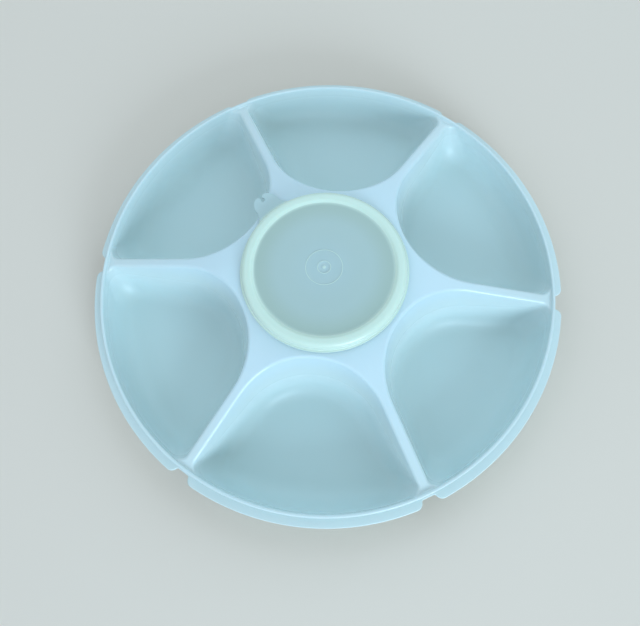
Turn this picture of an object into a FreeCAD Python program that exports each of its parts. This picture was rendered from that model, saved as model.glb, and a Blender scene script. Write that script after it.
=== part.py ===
import FreeCAD, Part
import Sketcher
import math
import os
import re

# Chip and dip server: a six-compartment tray, a dip bowl in its middle well and the bowl's seal.
# Millimetres and degrees. +Z is up, the table is z = 0 and the tray's axis is the Z axis.
# The six dividers lie at 0, 60, 120 ... degrees, the first one along +X.

SIZES = {
    # tray, heights: the flange's top, then what rises above it, then the compartments' floor
    "flangeLevel": 28.2,
    "flangeThickness": 2.2,
    "lipRise": 6.8,
    "deckRise": 24.8,
    "crestEndRise": 4.6,
    "floorLevel": 5.0,
    "floorThickness": 2.0,
    # tray, plan
    "compartments": 6,
    "flangeRadius": 165.0,
    "flangeWidth": 6.4,
    "rimWall": 2.2,
    "rimStep": 0.4,
    "apronDrop": 4.0,
    "deckFlatMargin": 5.0,
    "tipMargin": 1.7,
    "crestWidth": 6.5,
    "cupWall": 1.8,
    "sideDraft": 13.0,
    "rimDraft": 5.0,
    "cornerRound": 9.0,
    "crestRound": 2.4,
    "edgeRound": 0.8,
    # notches in the flange, and the foot ring
    "notchDepth": 4.9,
    "notchHalfWidth": 4.6,
    "notchFlare": 18.0,
    "notchCorner": 5.0,
    "notchFillet": 1.5,
    "footRadius": 108.0,
    "footWidth": 3.0,
    # well for the dip bowl
    "wellRadius": 49.6,
    "wellDraft": 2.0,
    "wellRound": 5.0,
    "wellMouthRound": 1.2,
    # dip bowl
    "bowlClearance": 0.6,
    "bowlWall": 1.8,
    "bowlFloorGap": 1.2,
    "bowlRimWidth": 3.8,
    "bowlRimHeight": 6.0,
    "bowlRound": 6.0,
    "bowlRimRound": 0.5,
    "bowlFootHeight": 1.2,
    "bowlFootInset": 9.0,
    "bowlFootWidth": 2.0,
    # seal
    "sealClearance": 0.4,
    "sealWall": 1.5,
    "sealCrown": 1.9,
    "crownOuterRound": 2.0,
    "crownInnerRound": 0.9,
    "ringInset": 1.2,
    "discDrop": 1.0,
    "plugGap": 0.6,
    "brimGap": 0.6,
    "brimThickness": 1.2,
    "brimWidth": 3.0,
    "markOuter": 12.3,
    "markInner": 4.4,
    "markDot": 1.5,
    "markWidth": 0.6,
    "markHeight": 0.3,
    # the seal's pull tab, with its hanging hole and slit
    "tabAngle": 135.0,
    "tabLength": 13.3,
    "tabRadius": 9.0,
    "tabFlare": 11.5,
    "tabHoleInset": 4.2,
    "tabHoleRadius": 1.2,
    "tabSlit": 1.1,
    "tabLobeRound": 1.4,
    # how far blanks and cuts run past the surface that trims them
    "trim": 2.0,
}

# Heights and radii that follow from the sheet, as expressions over its cells.
LIP_LEVEL = "(flangeLevel + lipRise)"
DECK_LEVEL = "(flangeLevel + deckRise)"
CREST_END_LEVEL = "(flangeLevel + crestEndRise)"
APRON_LEVEL = "(flangeLevel - flangeThickness - apronDrop)"
FLOOR_UNDERSIDE = "(floorLevel - floorThickness)"
BLANK_TOP = f"({DECK_LEVEL} + 2 * trim)"
CUT_TOP = f"({DECK_LEVEL} + 4 * trim)"
BOWL_BASE = "(floorLevel + bowlFloorGap)"
BOWL_UNDERSIDE = f"({BOWL_BASE} + bowlFootHeight)"
BOWL_RIM_RADIUS = "(wellRadius + bowlRimWidth)"
BOWL_RIM_TOP = f"({DECK_LEVEL} + bowlRimHeight)"
BOWL_SHOULDER = f"({DECK_LEVEL} + bowlWall)"
CROWN_LEVEL = f"({BOWL_RIM_TOP} + sealCrown)"
DISC_LEVEL = f"({CROWN_LEVEL} - discDrop)"
RING_RADIUS = f"({BOWL_RIM_RADIUS} + sealClearance + sealWall)"
RING_INNER = f"({BOWL_RIM_RADIUS} - bowlWall - sealClearance - sealWall - ringInset)"
BRIM_LEVEL = f"({DECK_LEVEL} + brimGap)"
BRIM_RADIUS = f"({RING_RADIUS} + brimWidth)"
TIP_RADIUS = f"({BRIM_RADIUS} + tipMargin)"
DECK_FLAT_RADIUS = f"({TIP_RADIUS} + deckFlatMargin)"
RIM_INNER = "(flangeRadius - flangeWidth - rimWall)"
NOTCH_ROOT = "(flangeRadius - notchDepth)"
NOTCH_ROOT_REACH = f"sqrt({NOTCH_ROOT} * {NOTCH_ROOT} + notchHalfWidth * notchHalfWidth)"
TAB_REACH = f"({BRIM_RADIUS} + tabLength)"
TAB_HOLE_OUT = f"({TAB_REACH} - tabHoleInset)"


def rim_radius(level):
    """Radius of the compartments' outer wall at a height."""
    return f"({RIM_INNER} - ({LIP_LEVEL} - {level}) * tan(rimDraft * 1 deg))"


def well_radius(level):
    return f"(wellRadius - ({DECK_LEVEL} - {level}) * tan(wellDraft * 1 deg))"


def on_sheet(text):
    """Put the sheet's name before each of its aliases in an expression."""
    return re.sub(r"[A-Za-z]+", lambda word: "Sizes." + word.group() if word.group() in SIZES
                  else word.group(), text)


def value(text):
    return float(sheet.evalExpression(on_sheet(text)))


def add_sheet():
    made = doc.addObject("Spreadsheet::Sheet", "Sizes")
    for row, (name, size) in enumerate(SIZES.items(), start=1):
        made.set(f"A{row}", name)
        made.set(f"B{row}", str(size))
        made.setAlias(f"B{row}", name)
    doc.recompute()
    return made


def add_body(label):
    body = doc.addObject("PartDesign::Body", label)
    body.Label = label
    body.AllowCompound = False
    body.Placement = FreeCAD.Placement()
    return body


def origin_feature(body, role):
    return next(item for item in body.Origin.OriginFeatures if item.Role == role)


def add_sketch(body, name, role, level=None, turn=None):
    """A sketch on one of the body's own planes, at a height and turned about Z where given."""
    sketch = body.newObject("Sketcher::SketchObject", name)
    sketch.AttachmentSupport = [(origin_feature(body, role), "")]
    sketch.MapMode = "FlatFace"
    if turn is not None:
        spin = FreeCAD.Rotation(FreeCAD.Vector(0, 0, 1), value(turn))
        sketch.AttachmentOffset = FreeCAD.Placement(FreeCAD.Vector(), spin)
    if level is not None:
        sketch.setExpression(".AttachmentOffset.Base.z", on_sheet(level))
    return sketch


def bind(sketch, constraint, name, text):
    """Add a dimension whose value is an expression over the sheet."""
    index = sketch.addConstraint(constraint)
    sketch.renameConstraint(index, name)
    sketch.setExpression(f"Constraints.{name}", on_sheet(text))


def draw_polygon(sketch, corners):
    """A closed outline whose corners are placed by expressions."""
    points = [FreeCAD.Vector(value(x), value(y), 0) for x, y in corners]
    count = len(points)
    for index, point in enumerate(points):
        sketch.addGeometry(Part.LineSegment(point, points[(index + 1) % count]), False)
    for index in range(count):
        sketch.addConstraint(Sketcher.Constraint("Coincident", index, 2, (index + 1) % count, 1))
    for index, (x, y) in enumerate(corners):
        point = points[index]
        across = Sketcher.Constraint("DistanceX", -1, 1, index, 1, point.x)
        upward = Sketcher.Constraint("DistanceY", -1, 1, index, 1, point.y)
        bind(sketch, across, f"x{index}", x)
        bind(sketch, upward, f"y{index}", y)


def revolve(body, kind, name, corners):
    """Turn an outline in the XZ plane about Z, added or cut."""
    sketch = add_sketch(body, name + "_profile", "XZ_Plane")
    draw_polygon(sketch, corners)
    feature = body.newObject("PartDesign::" + kind, name)
    feature.Profile = (sketch, [""])
    feature.ReferenceAxis = (sketch, ["V_Axis"])
    feature.Angle = 360
    doc.recompute()
    return feature


def repeat_round(body, name, feature, mode="Features"):
    pattern = body.newObject("PartDesign::PolarPattern", name)
    pattern.TransformMode = mode
    if mode == "Features":
        pattern.Originals = [feature]
    pattern.Axis = (origin_feature(body, "Z_Axis"), [""])
    pattern.Angle = 360
    pattern.setExpression("Occurrences", on_sheet("compartments"))
    body.Tip = pattern
    doc.recompute()
    return pattern


def add_fillet(body, name, base, edges, radius):
    fillet = body.newObject("PartDesign::Fillet", name)
    fillet.Base = (base, edges)
    fillet.setExpression("Radius", on_sheet(radius))
    body.Tip = fillet
    doc.recompute()
    return fillet


def edges_where(shape, test):
    return [f"Edge{index}" for index, edge in enumerate(shape.Edges, start=1) if test(edge)]


def edge_levels(edge):
    first = edge.FirstParameter
    last = edge.LastParameter
    return [edge.valueAt(first + (last - first) * share) for share in (0.0, 0.25, 0.5, 0.75, 1.0)]


def upright_at(radius, low, high):
    """Test for an upright edge at a radius about the axis, from one height to another."""
    wide = value(radius)
    heights = sorted((value(low), value(high)))

    def test(edge):
        points = edge_levels(edge)
        ends = sorted((points[0].z, points[-1].z))
        return (all(abs(end - height) < 0.01 for end, height in zip(ends, heights))
                and all(abs(math.hypot(point.x, point.y) - wide) < 0.01 for point in points))
    return test


def ring_at(radius, level):
    """Test for a circle about the axis, or a part of one, at a radius and a height."""
    wide = value(radius)
    high = value(level)
    return lambda edge: all(abs(math.hypot(point.x, point.y) - wide) < 0.01
                            and abs(point.z - high) < 0.01 for point in edge_levels(edge))


def flange_edge_test():
    """Test for the flange's top and bottom outer edges, notches included."""
    top = value("flangeLevel")
    bottom = value("flangeLevel - flangeThickness")
    inside = value(f"{RIM_INNER} + rimWall") + 0.01

    def test(edge):
        points = edge_levels(edge)
        level = points[0].z
        return (min(abs(level - top), abs(level - bottom)) < 0.001
                and all(abs(point.z - level) < 0.001 for point in points)
                and all(math.hypot(point.x, point.y) > inside for point in points))
    return test


def lobe_test():
    """Test for the tab's two upright edges at the mouth of its slit."""
    reach = value(TAB_REACH)
    slit = value("tabSlit")
    mouth = FreeCAD.Vector(reach, 0, value(BRIM_LEVEL))
    turn = FreeCAD.Rotation(FreeCAD.Vector(0, 0, 1), value("tabAngle"))
    mouth = turn.multVec(mouth)

    def test(edge):
        points = edge_levels(edge)
        upright = abs(points[0].z - points[-1].z) > 0.5
        return upright and all(math.hypot(point.x - mouth.x, point.y - mouth.y) < slit
                               for point in points)
    return test


# The dividers' walls lean by the side draft. Their crests fall from the deck to the rim, so the
# walls also open by this lean towards the rim, which keeps each crest one width along its length.
CREST_SLOPE = f"((deckRise - crestEndRise) / ({rim_radius(CREST_END_LEVEL)} - {DECK_FLAT_RADIUS}))"
WALL_LEAN = f"asin({CREST_SLOPE} * tan(sideDraft * 1 deg))"
SIDE_ANGLE = f"(180 deg / compartments + {WALL_LEAN})"
SIDE_OFFSET = f"(crestWidth / 2 + {CREST_SLOPE} * {DECK_FLAT_RADIUS} * tan(sideDraft * 1 deg))"
TIP_ARC = f"(({TIP_RADIUS} * sin({SIDE_ANGLE}) - {SIDE_OFFSET}) / (1 - sin({SIDE_ANGLE})))"


def draw_compartment(sketch, level, wall):
    """One compartment's outline along the sketch's X axis, at a height and moved out by wall.

    A hub arc and two straight sides tangent to it, which run on past the rim.
    """
    inward = f"(({DECK_LEVEL} - {level}) * tan(sideDraft * 1 deg) - {wall})"
    arc_text = f"{TIP_ARC} - {inward}"
    offset_text = f"{SIDE_OFFSET} + {inward}"
    reach_text = "flangeRadius + trim"
    side = math.radians(value(SIDE_ANGLE))
    hub = value(arc_text)
    offset = value(offset_text)
    reach = value(reach_text)

    along = FreeCAD.Vector(math.cos(side), math.sin(side), 0)
    across = FreeCAD.Vector(-math.sin(side), math.cos(side), 0)
    hub_centre = FreeCAD.Vector((hub + offset) / math.sin(side), 0, 0)
    start = hub_centre + across * hub
    end = start + along * ((reach - start.x) / along.x)
    low_start = FreeCAD.Vector(start.x, -start.y, 0)
    low_end = FreeCAD.Vector(end.x, -end.y, 0)
    hub_circle = Part.Circle(hub_centre, FreeCAD.Vector(0, 0, 1), hub)
    arc_start = side + math.pi / 2

    sketch.addGeometry([
        Part.ArcOfCircle(hub_circle, arc_start, 2 * math.pi - arc_start),
        Part.LineSegment(start, end),
        Part.LineSegment(end, low_end),
        Part.LineSegment(low_end, low_start),
    ], False)
    sketch.addConstraint(Sketcher.Constraint("Tangent", 0, 1, 1, 1))
    sketch.addConstraint(Sketcher.Constraint("Coincident", 1, 2, 2, 1))
    sketch.addConstraint(Sketcher.Constraint("Coincident", 2, 2, 3, 1))
    sketch.addConstraint(Sketcher.Constraint("Tangent", 3, 2, 0, 2))
    sketch.addConstraint(Sketcher.Constraint("PointOnObject", 0, 3, -1))
    bind(sketch, Sketcher.Constraint("Radius", 0, hub), "hub", arc_text)
    bind(sketch, Sketcher.Constraint("Angle", 1, side), "side", SIDE_ANGLE)
    bind(sketch, Sketcher.Constraint("Distance", -1, 1, 1, offset), "offset", offset_text)
    bind(sketch, Sketcher.Constraint("DistanceX", -1, 1, 1, 2, end.x), "reach", reach_text)
    sketch.addConstraint(Sketcher.Constraint("Symmetric", 1, 2, 2, 2, -1))


def make_cores(label, floor, top, wall):
    """The solid that fills the compartments, or with a wall their cups, from floor to top."""
    body = add_body(label)
    body.AllowCompound = True
    sketch = add_sketch(body, label + "_outline", "XY_Plane", floor, "180 / compartments")
    draw_compartment(sketch, floor, wall)
    pad = body.newObject("PartDesign::Pad", label + "_pad")
    pad.Profile = (sketch, [""])
    pad.setExpression("Length", on_sheet(f"{top} - {floor}"))
    pad.setExpression("TaperAngle", on_sheet("sideDraft"))
    doc.recompute()

    below = f"({floor} - trim)"
    above = f"({top} + trim)"
    outside = "2 * flangeRadius"
    rim = revolve(body, "Groove", label + "_rim", [
        (f"{rim_radius(below)} + {wall}", below),
        (outside, below),
        (outside, above),
        (f"{rim_radius(above)} + {wall}", above),
    ])
    lowest = value(floor)
    highest = value(top)
    midway = value(f"({DECK_FLAT_RADIUS} + {RIM_INNER}) / 2")

    def rounded(edge):
        points = edge_levels(edge)
        heights = [point.z for point in points]
        on_floor = max(heights) < lowest + 0.001
        full_height = abs(abs(heights[0] - heights[-1]) - (highest - lowest)) < 0.01
        at_rim = min(math.hypot(point.x, point.y) for point in points) > midway
        return on_floor or (full_height and at_rim)

    rounds = add_fillet(body, label + "_rounds", rim, edges_where(rim.Shape, rounded),
                        f"cornerRound + {wall}")
    repeat_round(body, label + "s", rounds, "Whole shape")
    return body


def shell_profile():
    """The tray's turned skin: well, deck, rim wall, lip and flange. The groove trims its top."""
    rim_at_crest = rim_radius(CREST_END_LEVEL)
    rim_outside = f"{rim_radius(LIP_LEVEL)} + rimWall"
    apron = f"{rim_radius(APRON_LEVEL)} + rimWall"
    flange_under = "(flangeLevel - flangeThickness)"
    well_floor = well_radius("floorLevel")
    return [
        ("0", "floorLevel"),
        (well_floor, "floorLevel"),
        (well_radius(f"({DECK_LEVEL} + trim)"), f"{DECK_LEVEL} + trim"),
        (DECK_FLAT_RADIUS, f"{DECK_LEVEL} + trim"),
        (f"{rim_at_crest} - rimStep", f"{CREST_END_LEVEL} + trim"),
        (f"{RIM_INNER} - rimStep", f"{LIP_LEVEL} + trim"),
        (rim_outside, f"{LIP_LEVEL} + trim"),
        (rim_outside, "flangeLevel"),
        ("flangeRadius", "flangeLevel"),
        ("flangeRadius", flange_under),
        (f"{rim_radius(flange_under)} + rimWall", flange_under),
        (apron, APRON_LEVEL),
        (f"{apron} - rimWall - rimStep", APRON_LEVEL),
        (f"{rim_at_crest} - rimStep", f"{CREST_END_LEVEL} - cupWall"),
        (DECK_FLAT_RADIUS, f"{DECK_LEVEL} - cupWall"),
        ("wellRadius + cupWall", f"{DECK_LEVEL} - cupWall"),
        (f"{well_floor} + cupWall", FLOOR_UNDERSIDE),
        ("0", FLOOR_UNDERSIDE),
    ]


def top_profile():
    """Everything above the deck, the dividers' crests and the lip."""
    outside = "flangeRadius + trim"
    return [
        ("0", DECK_LEVEL),
        (DECK_FLAT_RADIUS, DECK_LEVEL),
        (f"{rim_radius(CREST_END_LEVEL)} - rimStep", CREST_END_LEVEL),
        (f"{RIM_INNER} - rimStep", LIP_LEVEL),
        (outside, LIP_LEVEL),
        (outside, CUT_TOP),
        ("0", CUT_TOP),
    ]


def crest_test():
    """Test for the edges where a compartment opens through the deck and the crests."""
    deck = value(DECK_LEVEL)
    flat = value(DECK_FLAT_RADIUS)
    slope = value(CREST_SLOPE)
    rim = value(rim_radius(CREST_END_LEVEL))

    def test(edge):
        points = edge_levels(edge)
        radii = [math.hypot(point.x, point.y) for point in points]
        if max(radii) - min(radii) < 0.01 or max(radii) > rim + 0.5:
            return False
        return all(abs(point.z - (deck - max(0, radius - flat) * slope)) < 0.1
                   for point, radius in zip(points, radii))
    return test


def combine(body, kind, name, tool):
    """Add another body to this one, or cut it from this one."""
    boolean = body.newObject("PartDesign::Boolean", name)
    boolean.Type = kind
    boolean.Group = [tool]
    body.Tip = boolean
    doc.recompute()
    return boolean


def check_cut(name, before, after):
    """Stop if a cut took nothing away."""
    if before.Shape.Volume - after.Shape.Volume < 0.01:
        raise RuntimeError(name + " cut nothing")
    return after


def cut_notches(body):
    """The notches in the flange, one at each divider's end."""
    outside = "(flangeRadius + trim)"
    mouth = f"(notchHalfWidth + ({outside} - {NOTCH_ROOT}) * tan(notchFlare * 1 deg))"
    sketch = add_sketch(body, "notch_outline", "XY_Plane", "flangeLevel + trim")
    draw_polygon(sketch, [
        (NOTCH_ROOT, "-notchHalfWidth"),
        (outside, f"-{mouth}"),
        (outside, mouth),
        (NOTCH_ROOT, "notchHalfWidth"),
    ])
    notch = body.newObject("PartDesign::Pocket", "notch")
    notch.Profile = (sketch, [""])
    notch.setExpression("Length", on_sheet("flangeThickness + 2 * trim"))
    doc.recompute()
    return repeat_round(body, "notches", notch)


def make_tray():
    """The tray: a turned skin, a cup under each compartment, and the compartments cut into them."""
    cups = make_cores("cup", FLOOR_UNDERSIDE, BLANK_TOP, "cupWall")
    cores = make_cores("compartment", "floorLevel", CUT_TOP, "0")
    body = add_body("tray")
    revolve(body, "Revolution", "skin", shell_profile())
    blank = combine(body, "Fuse", "with_cups", cups)
    trimmed = check_cut("top_trim", blank, revolve(body, "Groove", "top_trim", top_profile()))
    check_cut("with_compartments", trimmed, combine(body, "Cut", "with_compartments", cores))
    foot_top = f"({FLOOR_UNDERSIDE} + floorThickness / 2)"
    footed = revolve(body, "Revolution", "foot_ring", [
        ("footRadius", "0"),
        ("footRadius + footWidth", "0"),
        ("footRadius + footWidth", foot_top),
        ("footRadius", foot_top),
    ])
    stage = check_cut("notches", footed, cut_notches(body))

    well_floor = well_radius("floorLevel")
    flange_under = "flangeLevel - flangeThickness"
    rounds = (
        ("well_floor_round", ring_at(well_floor, "floorLevel"), "wellRound"),
        ("well_under_round", ring_at(well_floor + " + cupWall", FLOOR_UNDERSIDE), "wellRound + cupWall"),
        ("well_mouth_round", ring_at("wellRadius", DECK_LEVEL), "wellMouthRound"),
        ("notch_root_rounds", upright_at(NOTCH_ROOT_REACH, flange_under, "flangeLevel"), "notchFillet"),
        ("notch_corner_rounds", upright_at("flangeRadius", flange_under, "flangeLevel"), "notchCorner"),
        ("crest_rounds", crest_test(), "crestRound"),
        ("foot_outer_round", ring_at("footRadius + footWidth", "0"), "edgeRound"),
        ("foot_inner_round", ring_at("footRadius", "0"), "edgeRound"),
        ("flange_rounds", flange_edge_test(), "edgeRound"),
    )
    for name, test, radius in rounds:
        stage = add_fillet(body, name, stage, edges_where(stage.Shape, test), radius)
    return body


def bowl_outside(level):
    """Radius of the dip bowl's outer wall at a height, a clearance inside the well's."""
    return f"({well_radius(level)} - bowlClearance)"


def make_bowl():
    """The dip bowl. It hangs in the well by its rim, which rests on the deck."""
    body = add_body("dip_bowl")
    base_outer = bowl_outside(BOWL_UNDERSIDE)
    foot_outer = f"({base_outer} - bowlFootInset)"
    foot_inner = f"({foot_outer} - bowlFootWidth)"
    rim_inner = f"({BOWL_RIM_RADIUS} - bowlWall)"
    inner_floor = f"({BOWL_UNDERSIDE} + bowlWall)"
    shoulder_inner = f"({bowl_outside(DECK_LEVEL)} - bowlWall)"
    floor_inner = f"({base_outer} - bowlWall)"
    stage = revolve(body, "Revolution", "bowl_skin", [
        ("0", BOWL_UNDERSIDE),
        (foot_inner, BOWL_UNDERSIDE),
        (foot_inner, BOWL_BASE),
        (foot_outer, BOWL_BASE),
        (foot_outer, BOWL_UNDERSIDE),
        (base_outer, BOWL_UNDERSIDE),
        (bowl_outside(DECK_LEVEL), DECK_LEVEL),
        (BOWL_RIM_RADIUS, DECK_LEVEL),
        (BOWL_RIM_RADIUS, BOWL_RIM_TOP),
        (rim_inner, BOWL_RIM_TOP),
        (rim_inner, BOWL_SHOULDER),
        (shoulder_inner, BOWL_SHOULDER),
        (floor_inner, inner_floor),
        ("0", inner_floor),
    ])
    rounds = (
        ("bowl_floor_round", ring_at(floor_inner, inner_floor), "bowlRound"),
        ("bowl_base_round", ring_at(base_outer, BOWL_UNDERSIDE), "bowlRound + bowlWall"),
        ("bowl_shoulder_round", ring_at(shoulder_inner, BOWL_SHOULDER), "edgeRound"),
        ("bowl_rim_outer_round", ring_at(BOWL_RIM_RADIUS, BOWL_RIM_TOP), "bowlRimRound"),
        ("bowl_rim_inner_round", ring_at(rim_inner, BOWL_RIM_TOP), "bowlRimRound"),
    )
    for name, test, radius in rounds:
        stage = add_fillet(body, name, stage, edges_where(stage.Shape, test), radius)
    return body


def add_mark(body, name, inner, outer):
    """A low moulded ring or dot on the seal's disc."""
    revolve(body, "Revolution", name, [
        (inner, f"{DISC_LEVEL} - markHeight"),
        (outer, f"{DISC_LEVEL} - markHeight"),
        (outer, f"{DISC_LEVEL} + markHeight"),
        (inner, f"{DISC_LEVEL} + markHeight"),
    ])


def tab_sketch(body, name):
    return add_sketch(body, name, "XY_Plane", BRIM_LEVEL, "tabAngle")


def draw_circle(sketch, out, radius):
    """A circle on the sketch's X axis."""
    centre = FreeCAD.Vector(value(out), 0, 0)
    circle = Part.Circle(centre, FreeCAD.Vector(0, 0, 1), value(radius))
    sketch.addGeometry(circle, False)
    sketch.addConstraint(Sketcher.Constraint("PointOnObject", 0, 3, -1))
    bind(sketch, Sketcher.Constraint("DistanceX", -1, 1, 0, 3, centre.x), "out", out)
    bind(sketch, Sketcher.Constraint("Radius", 0, value(radius)), "radius", radius)


def tab_feature(body, kind, name, sketch, length):
    feature = body.newObject("PartDesign::" + kind, name)
    feature.Profile = (sketch, [""])
    feature.setExpression("Length", on_sheet(length))
    feature.Reversed = kind == "Pocket"
    body.Tip = feature
    doc.recompute()
    return feature


def add_tab(body):
    """The pull tab on the seal's brim, pierced by a hole that a slit opens to its edge."""
    tab_centre = f"({TAB_REACH} - tabRadius)"
    root = f"({RING_RADIUS} + brimWidth / 2)"
    end_sketch = tab_sketch(body, "tab_end_outline")
    draw_circle(end_sketch, tab_centre, "tabRadius")
    tab_feature(body, "Pad", "tab_end", end_sketch, "brimThickness")
    root_sketch = tab_sketch(body, "tab_root_outline")
    draw_polygon(root_sketch, [
        (root, "-tabFlare"),
        (tab_centre, "-tabRadius"),
        (tab_centre, "tabRadius"),
        (root, "tabFlare"),
    ])
    whole = tab_feature(body, "Pad", "tab_root", root_sketch, "brimThickness")
    hole_sketch = tab_sketch(body, "tab_hole_outline")
    draw_circle(hole_sketch, TAB_HOLE_OUT, "tabHoleRadius")
    pierced = check_cut("tab_hole", whole,
                        tab_feature(body, "Pocket", "tab_hole", hole_sketch, "brimThickness"))
    slit_sketch = tab_sketch(body, "tab_slit_outline")
    draw_polygon(slit_sketch, [
        (TAB_HOLE_OUT, "-tabSlit / 2"),
        (f"{TAB_REACH} + trim", "-tabSlit / 2"),
        (f"{TAB_REACH} + trim", "tabSlit / 2"),
        (TAB_HOLE_OUT, "tabSlit / 2"),
    ])
    return check_cut("tab_slit", pierced,
                     tab_feature(body, "Pocket", "tab_slit", slit_sketch, "brimThickness"))


def make_seal():
    """The bowl's press-on seal: a disc, a ring that grips the bowl's rim, a brim and a tab."""
    body = add_body("dip_bowl_seal")
    skirt_inner = f"({BOWL_RIM_RADIUS} + sealClearance)"
    plug_outer = f"({BOWL_RIM_RADIUS} - bowlWall - sealClearance)"
    plug_inner = f"({plug_outer} - sealWall)"
    plug_bottom = f"({BOWL_SHOULDER} + plugGap)"
    disc_under = f"({DISC_LEVEL} - sealWall)"
    brim_top = f"({BRIM_LEVEL} + brimThickness)"
    revolve(body, "Revolution", "seal_skin", [
        ("0", disc_under),
        (plug_inner, disc_under),
        (plug_inner, plug_bottom),
        (plug_outer, plug_bottom),
        (plug_outer, BOWL_RIM_TOP),
        (skirt_inner, BOWL_RIM_TOP),
        (skirt_inner, BRIM_LEVEL),
        (BRIM_RADIUS, BRIM_LEVEL),
        (BRIM_RADIUS, brim_top),
        (RING_RADIUS, brim_top),
        (RING_RADIUS, CROWN_LEVEL),
        (RING_INNER, CROWN_LEVEL),
        (RING_INNER, DISC_LEVEL),
        ("0", DISC_LEVEL),
    ])
    add_mark(body, "mark_outer", "markOuter - markWidth / 2", "markOuter + markWidth / 2")
    add_mark(body, "mark_inner", "markInner - markWidth / 2", "markInner + markWidth / 2")
    add_mark(body, "mark_dot", "0", "markDot")
    stage = add_tab(body)
    rounds = (
        ("crown_outer_round", ring_at(RING_RADIUS, CROWN_LEVEL), "crownOuterRound"),
        ("crown_inner_round", ring_at(RING_INNER, CROWN_LEVEL), "crownInnerRound"),
        ("tab_lobe_rounds", lobe_test(), "tabLobeRound"),
    )
    for name, test, radius in rounds:
        stage = add_fillet(body, name, stage, edges_where(stage.Shape, test), radius)
    return body


def check_document():
    """Stop if any object of the document failed."""
    for item in doc.Objects:
        if "Invalid" in item.State or "Error" in item.State:
            raise RuntimeError(f"{item.Name} failed: {item.State}")


def write_part(body):
    shape = body.Shape
    if shape.isNull() or not shape.isValid():
        raise RuntimeError(body.Label + " has no valid shape")
    shape.exportStep(os.path.join("parts", body.Label + ".step"))
    print(body.Label, "solids", len(shape.Solids), "volume", round(shape.Volume, 1))


doc = FreeCAD.newDocument("chip_and_dip_server")
sheet = add_sheet()
pieces = [make_tray(), make_bowl(), make_seal()]
doc.recompute()
check_document()
os.makedirs("parts", exist_ok=True)
for piece in pieces:
    write_part(piece)
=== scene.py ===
import bpy
import bmesh
import math
from mathutils import Matrix, Quaternion, Vector


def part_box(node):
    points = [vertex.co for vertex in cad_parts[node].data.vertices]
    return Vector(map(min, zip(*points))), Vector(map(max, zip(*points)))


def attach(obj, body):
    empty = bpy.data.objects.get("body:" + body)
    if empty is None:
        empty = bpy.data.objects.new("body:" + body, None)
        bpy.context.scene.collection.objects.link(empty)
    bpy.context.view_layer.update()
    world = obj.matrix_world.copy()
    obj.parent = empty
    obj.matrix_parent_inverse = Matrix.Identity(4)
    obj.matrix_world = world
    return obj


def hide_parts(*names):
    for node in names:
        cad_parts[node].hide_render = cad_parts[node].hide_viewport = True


# Chip and dip server in frosted polyethylene: a six-compartment tray, the dip bowl in its
# middle and the bowl's seal. Metres, +Z up, the table at z = 0.

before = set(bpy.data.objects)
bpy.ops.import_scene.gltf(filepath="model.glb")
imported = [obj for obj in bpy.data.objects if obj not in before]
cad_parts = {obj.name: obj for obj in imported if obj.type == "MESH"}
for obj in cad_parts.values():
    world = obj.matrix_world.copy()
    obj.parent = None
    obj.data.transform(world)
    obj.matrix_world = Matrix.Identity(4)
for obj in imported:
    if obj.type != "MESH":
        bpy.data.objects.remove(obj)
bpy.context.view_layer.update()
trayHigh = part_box("tray")[1]
bowlLow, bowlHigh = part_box("dip_bowl")
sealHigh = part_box("dip_bowl_seal")[1]

# camera: above the front rim, looking down and back over the tray
shot = dict(place=(0.0245, -0.1452, 0.4436), aim=(-0.0015, -0.0225, 0.0282), roll=-6.5, lens=34.9)

cameraData = bpy.data.cameras.new("camera")
cameraData.lens = shot["lens"]
camera = bpy.data.objects.new("camera", cameraData)
bpy.context.collection.objects.link(camera)
backwards = Vector(shot["place"]) - Vector(shot["aim"])
rolled = Quaternion((0, 0, 1), math.radians(shot["roll"]))
camera.rotation_mode = "QUATERNION"
camera.rotation_quaternion = backwards.to_track_quat("Z", "Y") @ rolled
camera.location = shot["place"]
bpy.context.scene.camera = camera
print("camera", shot["lens"], "mm")

mergeGap = 0.000001      # vertices nearer than this become one


# small helpers for numbers, rows of vertices and finished pieces
def smooth(share):
    share = min(1, max(0, share))
    return share * share * (3 - 2 * share)


def mix(first, last, share):
    return first + (last - first) * share


def polar(radius, angle, level):
    return Vector((radius * math.cos(angle), radius * math.sin(angle), level))


def startChain(bm, places):
    # a row of vertices joined by edges
    chain = [bm.verts.new(place) for place in places]
    for one, other in zip(chain, chain[1:]):
        bm.edges.new((one, other))
    return chain


def growChain(bm, chain, places):
    # extrude a row of edges once and put the new row in its places
    edges = [bm.edges.get((one, other)) for one, other in zip(chain, chain[1:])]
    made = bmesh.ops.extrude_edge_only(bm, edges=edges)["geom"]
    fresh = {item for item in made if isinstance(item, bmesh.types.BMVert)}
    grown = []
    for vert in chain:
        linked = (edge.other_vert(vert) for edge in vert.link_edges)
        grown.append(next(other for other in linked if other in fresh))
    for vert, place in zip(grown, places):
        vert.co = place
    return grown


def finishPiece(name, bm, gap=mergeGap):
    bmesh.ops.remove_doubles(bm, verts=bm.verts, dist=gap)
    bmesh.ops.dissolve_degenerate(bm, edges=bm.edges, dist=gap)
    bmesh.ops.recalc_face_normals(bm, faces=bm.faces)
    for face in bm.faces:
        face.smooth = True
    mesh = bpy.data.meshes.new(name)
    bm.to_mesh(mesh)
    bm.free()
    piece = bpy.data.objects.new(name, mesh)
    bpy.context.collection.objects.link(piece)
    return piece


def shadeEvenly(piece):
    # large flats keep their own shading beside the narrow rounds
    even = piece.modifiers.new("even_shading", "WEIGHTED_NORMAL")
    even.weight = 60


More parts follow.
